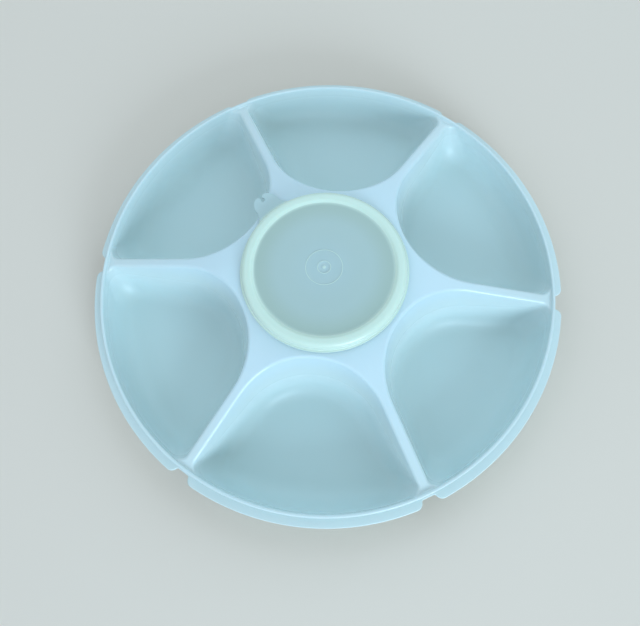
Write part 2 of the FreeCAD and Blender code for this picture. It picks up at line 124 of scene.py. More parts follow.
def roundedCorners(corners, steps=5):
    # corners are (reach, level, round); each round becomes an arc that meets both runs
    points = []
    for index, (reach, level, radius) in enumerate(corners):
        here = Vector((reach, level))
        if not radius:
            points.append(here)
            continue
        before = Vector(corners[index - 1][:2]) - here
        after = Vector(corners[(index + 1) % len(corners)][:2]) - here
        half = before.angle(after) / 2
        middle = here + (before.normalized() + after.normalized()).normalized() * radius / math.sin(half)
        first = here + before.normalized() * radius / math.tan(half) - middle
        last = here + after.normalized() * radius / math.tan(half) - middle
        sweep = first.angle_signed(last)
        for step in range(steps + 1):
            turned = first.copy()
            turned.rotate(Matrix.Rotation(-sweep * step / steps, 2))
            points.append(middle + turned)
    return points


def spunPiece(name, corners, turns):
    # an outline of such corners, spun round the Z axis
    bm = bmesh.new()
    chain = startChain(bm, [Vector((point.x, 0, point.y)) for point in roundedCorners(corners)])
    if corners[0][0]:
        bm.edges.new((chain[-1], chain[0]))      # a ring's outline closes, one from the axis doesn't
    bmesh.ops.spin(bm, geom=bm.verts[:] + bm.edges[:], cent=(0, 0, 0), axis=(0, 0, 1),
                   angle=2 * math.pi, steps=turns, use_merge=True)
    return finishPiece(name, bm)


def joinPieces(piece, extra):
    # one closed skin from two, by a boolean that is applied at once
    joint = piece.modifiers.new("join", "BOOLEAN")
    joint.operation = "UNION"
    joint.solver = "MANIFOLD"
    joint.object = extra
    shown = bpy.context.evaluated_depsgraph_get()
    piece.data = bpy.data.meshes.new_from_object(piece.evaluated_get(shown))
    piece.modifiers.clear()
    bpy.data.objects.remove(extra)
    bm = bmesh.new()
    bm.from_mesh(piece.data)
    bmesh.ops.remove_doubles(bm, verts=bm.verts, dist=mergeGap)
    bmesh.ops.dissolve_degenerate(bm, edges=bm.edges, dist=mergeGap)
    bm.to_mesh(piece.data)
    bm.free()


# the tray: deck and dividers in one, a lip, a notched flange, a well and a foot

tray = dict(
    lipLevel=0.0350, lipWidth=0.0022, lipRound=0.0009,
    flangeLevel=0.0282, flangeThick=0.0022, flangeWidth=0.0064, flangeFoot=0.0004,
    deckFlat=0.0650, deckBend=0.0060, tip=0.0600,
    crestWidth=0.0065, crestEnd=0.0328, crestRound=0.0024, crestFoot=0.0009,
    sideDraft=math.radians(13), rimDraft=math.radians(5),
    cornerTop=0.0060, cornerFloor=0.0180, lipClimb=0.0004, lipBand=0.0020,
    floorLevel=0.0050, floorDish=0.0006, floorRound=0.0150, floorWall=0.0020,
    floorStart=0.0980, floorEnd=0.1360,      # the middle line that the floor's rows shrink to
    wall=0.0018, underRound=0.0006, underMouth=0.0008,
    channelGap=0.0004, channelFalls=(0, 0, 0.15, 0.6, 1),
    wellRadius=0.0496, wellDraft=math.radians(2), wellRound=0.0050, wellMouthRound=0.0012,
    wellInner=0.4,      # the floor's inner row, as a share of its radius
    notchDepth=0.0049, notchHalf=0.0046, notchFlare=math.radians(18),
    notchCorner=0.0050, notchFillet=0.0015, edgeSquash=0.6,
    footRadius=0.1095, footWidth=0.0030, footRound=0.0008, footSink=0.0006, footTurns=192,
)
deckLevel = trayHigh.z
flangeRadius = trayHigh.y
dividers = 6
halfTurn = math.pi / dividers          # from a compartment's middle to its divider's
lipOutside = flangeRadius - tray["flangeWidth"]
lipInside = lipOutside - tray["lipWidth"]


def rimAt(level):
    return lipInside - (tray["lipLevel"] - level) * math.tan(tray["rimDraft"])


crestSlope = (deckLevel - tray["crestEnd"]) / (rimAt(tray["crestEnd"]) - tray["deckFlat"])


def crestLevel(radius):
    # flat deck, then an even fall to the rim, with a soft bend between
    bend = tray["deckBend"]
    past = radius - tray["deckFlat"]
    if past < -bend:
        return deckLevel
    if past > bend:
        return deckLevel - crestSlope * past
    return deckLevel - crestSlope * (past + bend) ** 2 / (4 * bend)


# a compartment's outline at deck level, its middle along +X: a hub arc and a straight side
wallLean = math.asin(crestSlope * math.tan(tray["sideDraft"]))
sideAngle = halfTurn + wallLean
sideOffset = tray["crestWidth"] / 2 + crestSlope * tray["deckFlat"] * math.tan(tray["sideDraft"])
hubArc = (tray["tip"] * math.sin(sideAngle) - sideOffset) / (1 - math.sin(sideAngle))
hubMiddle = (hubArc + sideOffset) / math.sin(sideAngle)
along = Vector((math.cos(sideAngle), math.sin(sideAngle)))
across = Vector((-math.sin(sideAngle), math.cos(sideAngle)))

counts = dict(hub=16, side=14, corner=18, rim=14)      # columns round half a compartment
rowCounts = dict(floor=3, floorRound=8, wall=5, crestRound=6, crest=3)
cornerTurn = 6        # corner columns that run along the divider's end before the lip starts
hubTurn = 8           # hub columns that face the well before the divider starts
columns = []
for kind in ("hub", "side", "corner", "rim"):
    columns += [(kind, step / counts[kind]) for step in range(counts[kind])]
columns.append(("rim", 1.0))
firstCorner = counts["hub"] + counts["side"]
firstLip = firstCorner + cornerTurn
firstRim = firstCorner + counts["corner"]
lipLead = firstRim - firstLip      # lip columns that lie beside the divider's end


def outline(column, inset, rim, corner):
    # a point of the compartment's outline, moved in from the deck's outline by inset
    kind, share = column
    offset = sideOffset + inset
    if kind == "hub":
        turn = math.pi - share * (math.pi / 2 - sideAngle)
        reach = hubArc - inset
        return Vector((hubMiddle + reach * math.cos(turn), reach * math.sin(turn)))
    end = math.sqrt((rim - corner) ** 2 - (offset + corner) ** 2)
    if kind == "side":
        start = hubMiddle * math.cos(sideAngle)
        return along * mix(start, end, share) - across * offset
    middle = along * end - across * (offset + corner)
    last = math.atan2(middle.y, middle.x)
    if kind == "corner":
        turn = mix(sideAngle + math.pi / 2, last, share)
        return middle + Vector((math.cos(turn), math.sin(turn))) * corner
    turn = last * (1 - share)
    return Vector((rim * math.cos(turn), rim * math.sin(turn)))


def rimShare(column):
    # 0 beside the divider, 1 along the rim, easing round the corner
    kind, share = column
    return {"hub": 0, "side": 0, "corner": smooth(share), "rim": 1}[kind]


def cornerAt(level):
    depth = (tray["lipLevel"] - level) / (tray["lipLevel"] - tray["floorLevel"])
    return mix(tray["cornerTop"], tray["cornerFloor"], min(1, max(0, depth)))


def wallPoint(column, level, out):
    # on the compartment's wall at a height, moved out by out
    inset = (deckLevel - level) * math.tan(tray["sideDraft"]) - out
    rim = rimAt(level) + mix(out, out * tray["lipWidth"] / tray["wall"], rimShare(column))
    return outline(column, inset, rim, cornerAt(level) + out)


def draftOf(column):
    return mix(tray["sideDraft"], tray["rimDraft"], rimShare(column))


def tangentOf(column, radius):
    return radius / math.tan((math.pi / 2 + draftOf(column)) / 2)


def floorPoint(column, turn, out, floor, radius):
    # on the round between the wall and the floor: turn 0 on the floor, 1 on the wall
    draft = draftOf(column)
    angle = turn * (math.pi / 2 - draft)
    inward = tangentOf(column, radius) - radius * math.sin(angle)
    climbed = radius * (1 - math.cos(angle))
    inset = (deckLevel - floor) * math.tan(tray["sideDraft"]) - out + inward
    rim = rimAt(floor) + mix(out, out * tray["lipWidth"] / tray["wall"], rimShare(column)) - inward
    corner = cornerAt(floor + climbed) + out - inward - climbed * math.tan(draft)
    return outline(column, inset, rim, corner).to_3d() + Vector((0, 0, floor + climbed))


def mouthLevel(column, out, drop):
    # where the wall meets the deck's or the crest's surface, found by a few even steps
    level = tray["crestEnd"] - drop
    for step in range(6):
        level = crestLevel(wallPoint(column, level, out).length) - drop
    return level


def roundPoint(column, turn, out, drop, radius, band, level, plain):
    # on the round between the wall and the crest: turn 0 on the wall, 1 on the crest.
    # Where plain is 1, along the rim, the rows climb the wall instead.
    angle = (math.pi / 2 - draftOf(column)) * (1 - turn)
    outward = tangentOf(column, radius) - radius * math.sin(angle)
    inset = (deckLevel - level) * math.tan(tray["sideDraft"]) - out - outward
    place = outline(column, inset, rimAt(level) + out + outward, cornerAt(level) + out + outward)
    height = crestLevel(place.length) - drop - radius * (1 - math.cos(angle))
    onCrest = place.to_3d() + Vector((0, 0, height))
    climbed = level - band * (1 - turn)
    onWall = wallPoint(column, climbed, out).to_3d() + Vector((0, 0, climbed))
    return onCrest.lerp(onWall, plain)


def easedRows(rows, passes=4):
    # soften where the floor, the round and the wall meet; each column keeps its two ends
    for turn in range(passes):
        eased = [[(low + 2 * here + high) / 4 for low, here, high in zip(*three)]
                 for three in zip(rows, rows[1:], rows[2:])]
        rows = [rows[0]] + eased + [rows[-1]]
    return rows


def growCompartment(bm, skin, levelOf, edgeRow):
    # rows from the floor's middle line, up the wall, over the crest's round to the edge row
    out, drop, floor = skin["out"], skin["drop"], skin["floor"]
    dished = floor + tray["floorDish"]
    middleRow = []
    for index in range(len(columns)):
        share = smooth(index / (len(columns) - 1))
        middleRow.append(Vector((mix(tray["floorStart"], tray["floorEnd"], share), 0, floor)))
    ring = [floorPoint(column, 0, out, dished, skin["floorRound"]) for column in columns]
    rows = [middleRow]
    for step in range(1, rowCounts["floor"]):
        share = step / rowCounts["floor"]
        row = [one.lerp(other, share) for one, other in zip(middleRow, ring)]
        for place in row:
            place.z = floor + tray["floorDish"] * share ** 2
        rows.append(row)
    for step in range(rowCounts["floorRound"] + 1):
        turn = step / rowCounts["floorRound"]
        rows.append([floorPoint(column, turn, out, dished, skin["floorRound"]) for column in columns])
    levels = [levelOf(column) for column in columns]
    plains = [rimShare(column) if index < skin["plainFrom"] else 1 for index, column in enumerate(columns)]

    def roundRow(turn):
        return [roundPoint(column, turn, out, drop, skin["crestRound"], skin["band"], level, plain)
                for column, level, plain in zip(columns, levels, plains)]

    lowRow, topRow = rows[-1], roundRow(0)
    for step in range(1, rowCounts["wall"]):
        row = []
        for column, low, top in zip(columns, lowRow, topRow):
            level = mix(low.z, top.z, step / rowCounts["wall"])
            row.append(wallPoint(column, level, out).to_3d() + Vector((0, 0, level)))
        rows.append(row)
    rows = easedRows(rows + [topRow])
    chain = startChain(bm, rows[0])
    for row in rows[1:-1]:
        chain = growChain(bm, chain, row)
    for step in range(rowCounts["crestRound"] + 1):
        row = roundRow(step / rowCounts["crestRound"])
        chain = growChain(bm, chain, row)
    edge = edgeRow(row)
    for step in range(1, rowCounts["crest"] + 1):
        places = []
        for index, (one, other) in enumerate(zip(row, edge)):
            place = one.lerp(other, step / rowCounts["crest"])
            if step < rowCounts["crest"] and index < skin["crestTo"]:
                place.z = crestLevel(place.xy.length) - drop
            places.append(place)
        chain = growChain(bm, chain, places)
    return chain


def edgePlaces(row, wellReach, drop, endPlaces, lipRow):
    # the edge row: the well's mouth, the divider's middle line, its end, then the lip's foot
    places = []
    sideStart = row[counts["hub"]].xy.length
    for index in range(len(columns)):
        if index <= hubTurn:
            places.append(polar(wellReach, halfTurn * index / hubTurn, deckLevel - drop))
        elif index < counts["hub"]:
            reach = mix(wellReach, sideStart, (index - hubTurn) / (counts["hub"] - hubTurn))
            places.append(polar(reach, halfTurn, crestLevel(reach) - drop))
        elif index <= firstCorner:
            reach = row[index].xy.length
            places.append(polar(reach, halfTurn, crestLevel(reach) - drop))
        elif index < firstLip:
            reach, level = endPlaces[index - firstCorner - 1]
            places.append(polar(reach, halfTurn, level))
        else:
            places.append(lipRow[index - firstLip])
    return places


def lipAngles(level, out):
    # the angle of each column from the divider's end to the compartment's middle
    last = math.atan2(*reversed(wallPoint(("rim", 0), level, out)))
    angles = [mix(halfTurn, last, step / lipLead) for step in range(lipLead)]
    return angles + [last * (1 - share) for kind, share in columns[firstRim:]]


lipTurns = lipAngles(tray["crestEnd"], 0)


def lipRing(radius, level, turns=lipTurns):
    return [polar(radius, angle, level) for angle in turns]


def flangeEdge(inset):
    # the flange's edge from a notch's root to the compartment's middle, moved in by inset
    root = flangeRadius - tray["notchDepth"]
    flare, corner, fillet = tray["notchFlare"], tray["notchCorner"], tray["notchFillet"]
    half = tray["notchHalf"]
    flank = Vector((math.cos(flare), -math.sin(flare)))
    inwards = Vector((flank.y, -flank.x))                  # from the flank into the flange
    # the small round at the root keeps its middle in the open notch, so it grows as the edge moves in
    rootMiddle = Vector((root + fillet, fillet * (1 - math.sin(flare)) / math.cos(flare) - half))
    flankTurn = math.atan2(inwards.y, inwards.x) % (2 * math.pi)
    points = [Vector((root - inset, 0))]
    for step in range(5):
        turn = mix(math.pi, flankTurn, step / 4)
        points.append(rootMiddle + Vector((math.cos(turn), math.sin(turn))) * (fillet + inset))
    # the large round at the flange's edge keeps its middle in the flange
    base = Vector((root, -half)) + inwards * corner
    ahead = base.dot(flank)
    travel = math.sqrt(ahead ** 2 - base.length_squared + (flangeRadius - corner) ** 2) - ahead
    middle = base + flank * travel
    firstTurn, lastTurn = math.atan2(-inwards.y, -inwards.x), math.atan2(middle.y, middle.x)
    for step in range(7):
        turn = mix(firstTurn, lastTurn, step / 6)
        points.append(middle + Vector((math.cos(turn), math.sin(turn))) * (corner - inset))
    points = [Matrix.Rotation(halfTurn, 2) @ point for point in points]
    lastAngle = math.atan2(points[-1].y, points[-1].x)
    points += [polar(flangeRadius - inset, lastAngle * (1 - share), 0).xy
               for kind, share in columns[firstRim + 1:]]
    return points


def wellRows(radius, top, mouthRound, floor, floorRound):
    # (reach, level) pairs down the well's wall to the middle of its floor
    draft = tray["wellDraft"]
    rows = []
    for step in range(6):
        turn = step / 5 * (math.pi / 2 - draft)
        reach = radius + mouthRound - mouthRound * math.sin(turn)
        rows.append((reach, top - mouthRound * (1 - math.cos(turn))))
    bottom = radius - (top - floor) * math.tan(draft)
    tangent = floorRound / math.tan((math.pi / 2 + draft) / 2)
    for step in range(7):
        turn = (1 - step / 6) * (math.pi / 2 - draft)
        reach = bottom - tangent + floorRound * math.sin(turn)
        rows.append((reach, floor + floorRound * (1 - math.cos(turn))))
    rows += [(bottom * tray["wellInner"], floor), (0, floor)]
    return rows


def growWell(bm, chain, *sizes):
    # sizes are the well's, in wellRows' order
    for reach, level in wellRows(*sizes):
        row = [polar(reach, halfTurn * step / hubTurn, level) for step in range(hubTurn + 1)]
        chain = growChain(bm, chain, row)


# the tray's two skins: the one seen from above, and the underside, moved out by the wall.
# Columns before crestTo keep to the crest's own fall, and those from plainFrom have no round.
topSkin = dict(
    out=0, drop=0, floor=tray["floorLevel"], floorRound=tray["floorRound"],
    crestRound=tray["crestRound"], band=tray["lipBand"], crestTo=firstLip, plainFrom=len(columns))
underSkin = dict(
    out=tray["wall"], drop=tray["wall"], floor=tray["floorLevel"] - tray["floorWall"],
    floorRound=tray["floorRound"] + tray["wall"],
    crestRound=tray["underRound"], band=tray["underRound"], crestTo=firstCorner + 3, plainFrom=firstLip)

sideEnd = wallPoint(("side", 1.0), tray["crestEnd"], 0).length
flangeUnder = tray["flangeLevel"] - tray["flangeThick"]
underReach = rimAt(flangeUnder) + tray["lipWidth"]
underTurns = lipAngles(flangeUnder, tray["wall"])


def lipFoot(index):
    # the round at the lip's foot, which fades out away from the divider
    return tray["crestFoot"] * (1 - smooth(index / lipLead))


def growTop(bm):
    # deck, crest and compartment, out to the lip's foot
    level = tray["crestEnd"]
    footRow = []
    for index, angle in enumerate(lipTurns):
        climbed = level + tray["lipClimb"] * smooth(index / lipLead)
        footRow.append(polar(rimAt(level) - lipFoot(index), angle, climbed))
    ends = []
    for step in range(1, cornerTurn):
        reach = mix(sideEnd, rimAt(level) - tray["crestFoot"], step / cornerTurn)
        ends.append((reach, crestLevel(reach)))
    mouth = tray["wellRadius"] + 2 * tray["wellMouthRound"]
    return growCompartment(bm, topSkin, lambda column: mouthLevel(column, 0, 0),
                           lambda row: edgePlaces(row, mouth, 0, ends, footRow))


def growLip(bm, chain):
    # the lip with its foot, the wall outside it and the flange
    for share in (1 / 3, 2 / 3, 1):
        turn = share * math.pi / 2
        row = []
        for index, angle in enumerate(lipTurns):
            climb = tray["lipClimb"] * mix(smooth(index / lipLead), 1, share)
            level = tray["crestEnd"] + climb + lipFoot(index) * (1 - math.cos(turn))
            row.append(polar(rimAt(level) - lipFoot(index) * (1 - math.sin(turn)), angle, level))
        chain = growChain(bm, chain, row)
    half = tray["flangeThick"] / 2
    squashed = tray["edgeSquash"] * half
    edgeTurns = [math.atan2(point.y, point.x) for point in flangeEdge(squashed)]

    def slid(share):
        # on the way out the columns slide round from the crest's to the notch's
        return [mix(one, other, share) for one, other in zip(lipTurns, edgeTurns)]

    lip = tray["lipRound"]
    for step in range(6):
        turn = step / 5 * math.pi / 2
        reach = lipInside + lip * (1 - math.cos(turn))
        chain = growChain(bm, chain, lipRing(reach, tray["lipLevel"] - lip * (1 - math.sin(turn))))
    for step in range(6):
        turn = step / 5 * math.pi / 2
        reach = lipOutside - lip * (1 - math.sin(turn))
        level = tray["lipLevel"] - lip * (1 - math.cos(turn))
        chain = growChain(bm, chain, lipRing(reach, level, slid(step / 10)))
    hem = tray["flangeFoot"]
    for step in range(4):
        turn = step / 3 * math.pi / 2
        reach = lipOutside + hem * (1 - math.cos(turn))
        level = tray["flangeLevel"] + hem * (1 - math.sin(turn))
        chain = growChain(bm, chain, lipRing(reach, level, slid(1)))
    # the flange's rounded edge, top to bottom
    for step in range(7):
        turn = step / 6 * math.pi
        level = tray["flangeLevel"] - half * (1 - math.cos(turn))
        edge = flangeEdge(squashed * (1 - math.sin(turn)))
        chain = growChain(bm, chain, [place.to_3d() + Vector((0, 0, level)) for place in edge])
    chain = growChain(bm, chain, lipRing(lipOutside, flangeUnder, edgeTurns))
    growChain(bm, chain, lipRing(underReach, flangeUnder, underTurns))


def growUnderside(bm):
    # the same walls moved out. The channel under a divider ends in a slope to the flange's underside.
    out = tray["wall"]
    endReach = rimAt(tray["crestEnd"]) - tray["channelGap"]
    ends = []
    for step, fall in enumerate(tray["channelFalls"], 1):
        reach = mix(sideEnd, endReach, min(1, step / 3))
        ends.append((reach, mix(crestLevel(reach) - out, flangeUnder, fall)))

    def levelOf(column):
        kind, share = column
        past = kind == "corner" and round(share * counts["corner"]) >= cornerTurn
        return flangeUnder if kind == "rim" or past else mouthLevel(column, out, out)

    mouth = tray["wellRadius"] + out + tray["underMouth"]
    lipRow = lipRing(underReach, flangeUnder, underTurns)
    return growCompartment(bm, underSkin, levelOf, lambda row: edgePlaces(row, mouth, out, ends, lipRow))


def addFootRing(piece):
    # the round foot is moulded with the tray: spun on its own, then joined to the floors' undersides
    inside = tray["footRadius"] - tray["footWidth"] / 2
    outside = tray["footRadius"] + tray["footWidth"] / 2
    top = underSkin["floor"] + tray["footSink"]
    ring = spunPiece("foot_ring", [
        (inside, 0, tray["footRound"]), (outside, 0, tray["footRound"]),
        (outside, top, 0), (inside, top, 0)], tray["footTurns"])
    joinPieces(piece, ring)


def buildTray():
    bm = bmesh.new()
    top = growTop(bm)
    growLip(bm, top[firstLip:])
    growWell(bm, top[:hubTurn + 1], tray["wellRadius"], deckLevel, tray["wellMouthRound"],
             tray["floorLevel"], tray["wellRound"])
    bottom = growUnderside(bm)
    growWell(bm, bottom[:hubTurn + 1], tray["wellRadius"] + tray["wall"], deckLevel - tray["wall"],
             tray["underRound"], underSkin["floor"], tray["wellRound"] + tray["wall"])
    # the other half of the compartment, then all six
    bmesh.ops.mirror(bm, geom=bm.verts[:] + bm.edges[:] + bm.faces[:], axis="Y", merge_dist=mergeGap)
    bmesh.ops.rotate(bm, verts=bm.verts, cent=(0, 0, 0), matrix=Matrix.Rotation(halfTurn, 3, "Z"))
    bmesh.ops.spin(bm, geom=bm.verts[:] + bm.edges[:] + bm.faces[:], cent=(0, 0, 0), axis=(0, 0, 1),
                   angle=2 * math.pi * (dividers - 1) / dividers, steps=dividers - 1, use_duplicate=True)
    piece = finishPiece("tray_moulding", bm, 2 * mergeGap)
    addFootRing(piece)
    return piece


trayPiece = buildTray()
print("tray", len(trayPiece.data.vertices), "vertices")

# the dip bowl, hidden under its seal until that is lifted

bowl = dict(
    gap=0.0006, wall=0.0018, rimRound=0.0006, rimFoot=0.0006, floorRound=0.0060, edge=0.0004,
    footHeight=0.0012, footInset=0.0090, footWidth=0.0020, footRound=0.0005, shoulderRound=0.0008,
    turns=160,
)


def buildBowl():
    base = bowlLow.z
    under = base + bowl["footHeight"]
    rim = bowlHigh.x
    rimInside = rim - bowl["wall"]

    def outside(level):
        return tray["wellRadius"] - (deckLevel - level) * math.tan(tray["wellDraft"]) - bowl["gap"]

    foot = outside(under) - bowl["footInset"]
    inner = under + bowl["wall"]
    shoulder = deckLevel + bowl["wall"]
    return spunPiece("dip_bowl_moulding", [
        (0, under, 0),
        (foot - bowl["footWidth"], under, 0), (foot - bowl["footWidth"], base, bowl["footRound"]),
        (foot, base, bowl["footRound"]), (foot, under, 0),
        (outside(under), under, bowl["floorRound"] + bowl["wall"]),
        (outside(deckLevel), deckLevel, bowl["edge"]), (rim, deckLevel, bowl["edge"]),
        (rim, bowlHigh.z, bowl["rimRound"]), (rimInside, bowlHigh.z, bowl["rimRound"]),
        (rimInside, shoulder, bowl["rimFoot"]),
        (outside(deckLevel) - bowl["wall"], shoulder, bowl["shoulderRound"]),
        (outside(under) - bowl["wall"], inner, bowl["floorRound"]),
        (0, inner, 0)], bowl["turns"])


bowlPiece = buildBowl()
print("dip bowl", len(bowlPiece.data.vertices), "vertices")

# the seal: a recessed disc in a thick ring, a thin brim and a pull tab

seal = dict(
    gap=0.0004, wall=0.0015, plugGap=0.0006, ringInset=0.0006, ringSlope=0.0022,
    crownOuter=0.0036, crownInner=0.0024, discDrop=0.0015, discRound=0.0020,
    brimGap=0.0006, brimThick=0.0012, brimWidth=0.0014, brimFillet=0.0008, edge=0.0004,
    markRings=(0.0123, 0.0044), markHalf=0.0004, markTop=0.4, markHeight=0.0003, dot=0.0015, dotTop=0.6,
    tabAngle=math.radians(135), tabRadius=0.0090, tabFlare=0.0135, tabLength=0.0149,
    holeInset=0.0042, holeRadius=0.0015, slitWidth=0.0017, lobeRound=0.0022,
    arcStart=0.05, arcEnd=math.radians(88), turns=192,
)


def buildSeal():
    crown = sealHigh.z
    disc = crown - seal["discDrop"]
    bowlRim = bowlHigh.x
    ring = bowlRim + seal["gap"] + seal["wall"]
    brim = ring + seal["brimWidth"]
    brimUnder = deckLevel + seal["brimGap"]
    brimTop = brimUnder + seal["brimThick"]
    plug = bowlRim - bowl["wall"] - seal["gap"]
    plugInside = plug - seal["wall"]
    plugUnder = deckLevel + bowl["wall"] + seal["plugGap"]
    ringInside = plugInside - seal["ringInset"]
    edge = seal["edge"]
    marks = []
    raised = disc + seal["markHeight"]
    for radius in seal["markRings"]:
        half, top = seal["markHalf"], seal["markHalf"] * seal["markTop"]
        marks += [(radius + half, disc, 0), (radius + top, raised, 0),
                  (radius - top, raised, 0), (radius - half, disc, 0)]
    skin = spunPiece("dip_bowl_seal_moulding", [
        (0, disc - seal["wall"], 0),
        (plugInside, disc - seal["wall"], edge),
        (plugInside, plugUnder, edge), (plug, plugUnder, edge),
        (plug, bowlHigh.z, edge / 2), (bowlRim + seal["gap"], bowlHigh.z, edge / 2),
        (bowlRim + seal["gap"], brimUnder, edge / 2),
        (brim, brimUnder, edge), (brim, brimTop, edge),
        (ring, brimTop, seal["brimFillet"]), (ring, crown, seal["crownOuter"]),
        (ringInside, crown, seal["crownInner"]), (ringInside - seal["ringSlope"], disc, seal["discRound"]),
        *marks,
        (seal["dot"], disc, 0), (seal["dot"] * seal["dotTop"], raised, 0),
        (0, raised, 0)], seal["turns"])
    joinPieces(skin, buildTab(brim, brimUnder))
    return skin


def buildTab(brim, level):
    # drawn flat along +X with its slit and hole as part of one outline, then turned to its place
    reach = brim + seal["tabLength"]
    radius, lobe = seal["tabRadius"], seal["lobeRound"]
    hole, slit = seal["holeRadius"], seal["slitWidth"] / 2
    middle = Vector((reach - radius, 0))
    holeMiddle = Vector((reach - seal["holeInset"], 0))
    half = []

    def addArc(centre, size, first, last, steps):
        for step in range(steps + 1):
            turn = mix(first, last, step / steps)
            half.append(centre + Vector((math.cos(turn), math.sin(turn))) * size)

    addArc(holeMiddle, hole, math.pi, math.asin(slit / hole), 8)
    lobeMiddle = middle + Vector((math.sqrt((radius - lobe) ** 2 - (slit + lobe) ** 2), slit + lobe))
    outwards = lobeMiddle - middle
    last = math.atan2(outwards.y, outwards.x)
    addArc(lobeMiddle, lobe, -math.pi / 2, last, 5)
    addArc(middle, radius, last + seal["arcStart"], seal["arcEnd"], 8)
    # the root sweeps out and ends just inside the brim's edge
    root = math.sqrt((brim - seal["edge"]) ** 2 - seal["tabFlare"] ** 2)
    for step in range(1, 7):
        share = step / 6
        half.append(Vector((mix(middle.x, root, share), mix(radius, seal["tabFlare"], share ** 2))))
    bm = bmesh.new()
    points = [Vector((point.x, point.y, level)) for point in half]
    points += [Vector((point.x, -point.y, level)) for point in reversed(points[1:])]
    face = bm.faces.new([bm.verts.new(point) for point in points])
    grown = bmesh.ops.extrude_face_region(bm, geom=[face])["geom"]
    bmesh.ops.translate(bm, vec=(0, 0, seal["brimThick"]),
                        verts=[item for item in grown if isinstance(item, bmesh.types.BMVert)])
    bmesh.ops.rotate(bm, verts=bm.verts, cent=(0, 0, 0), matrix=Matrix.Rotation(seal["tabAngle"], 3, "Z"))
    return finishPiece("tab", bm)


sealPiece = buildSeal()
print("seal", len(sealPiece.data.vertices), "vertices")

# materials


def linear(hexColour):
    channels = [int(hexColour[place:place + 2], 16) / 255 for place in (1, 3, 5)]
    return [value / 12.92 if value <= 0.04045 else ((value + 0.055) / 1.055) ** 2.4
            for value in channels] + [1]


def addNode(tree, kind, settings, links):
    # settings: socket or property to value; links: socket to (node, output)
    node = tree.nodes.new(kind)
    for name, value in settings.items():
        if name in node.inputs:
            node.inputs[name].default_value = value
        else:
            setattr(node, name, value)
    for name, (source, output) in links.items():
        tree.links.new(source.outputs[output], node.inputs[name])
    return node


# what every moulding of this set has: the slow flow marks and the fine-blasted skin's grain.
# The real grain is finer than 0.7 mm, and is drawn this coarse so that it can be seen.
moulded = dict(
    ior=1.51, scatter=(0.8, 1.0, 1.1), flowMarks=0.060, flowClear=0.97, flowMilky=1.02,
    grain=0.0007, grainHeight=0.00002, grainStrength=0.2, raisedBand=0.0003)


def makePolyethylene(name, look):
    # moulded low-density polyethylene, IOR 1.51: waxy, slightly milky, with a satin skin from a
    # fine-blasted mould, so highlights are soft; the colour ramps hold painted shade beside the plastic's
    # tint
    material = bpy.data.materials.new(name)
    material.use_nodes = True
    tree = material.node_tree
    tree.nodes.clear()
    place = addNode(tree, "ShaderNodeTexCoord", {}, {})
    axes = addNode(tree, "ShaderNodeSeparateXYZ", {}, {"Vector": (place, "Object")})
    measure = (axes, "Z")
    if look["by"] == "reach":
        flat = addNode(tree, "ShaderNodeVectorMath", {"operation": "MULTIPLY"}, {0: (place, "Object")})
        flat.inputs[1].default_value = (1, 1, 0)
        reach = addNode(tree, "ShaderNodeVectorMath", {"operation": "LENGTH"}, {0: (flat, "Vector")})
        measure = (reach, "Value")
    # the tones run along the height above the table, or along the distance from the middle, and hold painted
    # shade
    first, last = look["tones"][0][0], look["tones"][-1][0]
    share = addNode(tree, "ShaderNodeMapRange", {"From Min": first, "From Max": last}, {"Value": measure})
    tones = addNode(tree, "ShaderNodeValToRGB", {}, {"Fac": (share, "Result")})
    tones.color_ramp.interpolation = "EASE"      # no crease where two tones meet
    stops = tones.color_ramp.elements
    for index, (at, tone) in enumerate(look["tones"]):
        spot = (at - first) / (last - first)
        stop = stops[0] if index == 0 else stops[-1] if spot == 1 else stops.new(spot)
        stop.position = spot
        stop.color = linear(tone)
    colour = (tones, "Color")
    if "raised" in look:
        # raised marks and the ring's crown, just above the disc, are drawn lighter: partly thicker plastic
        # and the ring's cream tint, partly painted light for the bright lines their slopes catch
        top = look["raisedFrom"] + moulded["raisedBand"]
        raised = addNode(tree, "ShaderNodeMapRange", {
            "From Min": look["raisedFrom"], "From Max": top}, {"Value": (axes, "Z")})
        lighter = addNode(tree, "ShaderNodeMix", {"data_type": "RGBA"}, {"Factor": (raised, "Result")})
        tree.links.new(tones.outputs["Color"], lighter.inputs["A"])
        lighter.inputs["B"].default_value = linear(look["raised"])
        colour = (lighter, "Result")
    # slow flow marks, about 60 mm across, that change the milkiness a little
    flow = addNode(tree, "ShaderNodeTexNoise", {
        "Scale": 1 / moulded["flowMarks"], "Detail": 2}, {"Vector": (place, "Object")})
    faint = addNode(tree, "ShaderNodeMapRange", {
        "To Min": moulded["flowClear"], "To Max": moulded["flowMilky"]}, {"Value": (flow, "Fac")})
    cloudy = addNode(tree, "ShaderNodeVectorMath", {"operation": "SCALE"},
                     {0: colour, "Scale": (faint, "Result")})
    grain = addNode(tree, "ShaderNodeTexNoise", {
        "Scale": 1 / moulded["grain"], "Detail": 3}, {"Vector": (place, "Object")})
    blasted = addNode(tree, "ShaderNodeBump", {
        "Strength": moulded["grainStrength"], "Distance": moulded["grainHeight"]}, {"Height": (grain, "Fac")})
    # handling has rubbed the raised parts smoother than the floors
    satin = addNode(tree, "ShaderNodeMapRange", {
        "interpolation_type": "SMOOTHSTEP", "From Min": look["mattTo"], "From Max": look["satinFrom"],
        "To Min": look["matt"], "To Max": look["satin"]}, {"Value": measure})
    shader = addNode(tree, "ShaderNodeBsdfPrincipled", {
        "IOR": moulded["ior"], "Subsurface Weight": look["milk"], "Subsurface Scale": look["depth"],
        "Subsurface Radius": moulded["scatter"]},
        {"Base Color": (cloudy, "Vector"), "Roughness": (satin, "Result"), "Normal": (blasted, "Normal")})
    addNode(tree, "ShaderNodeOutputMaterial", {}, {"Surface": (shader, "BSDF")})
    return material
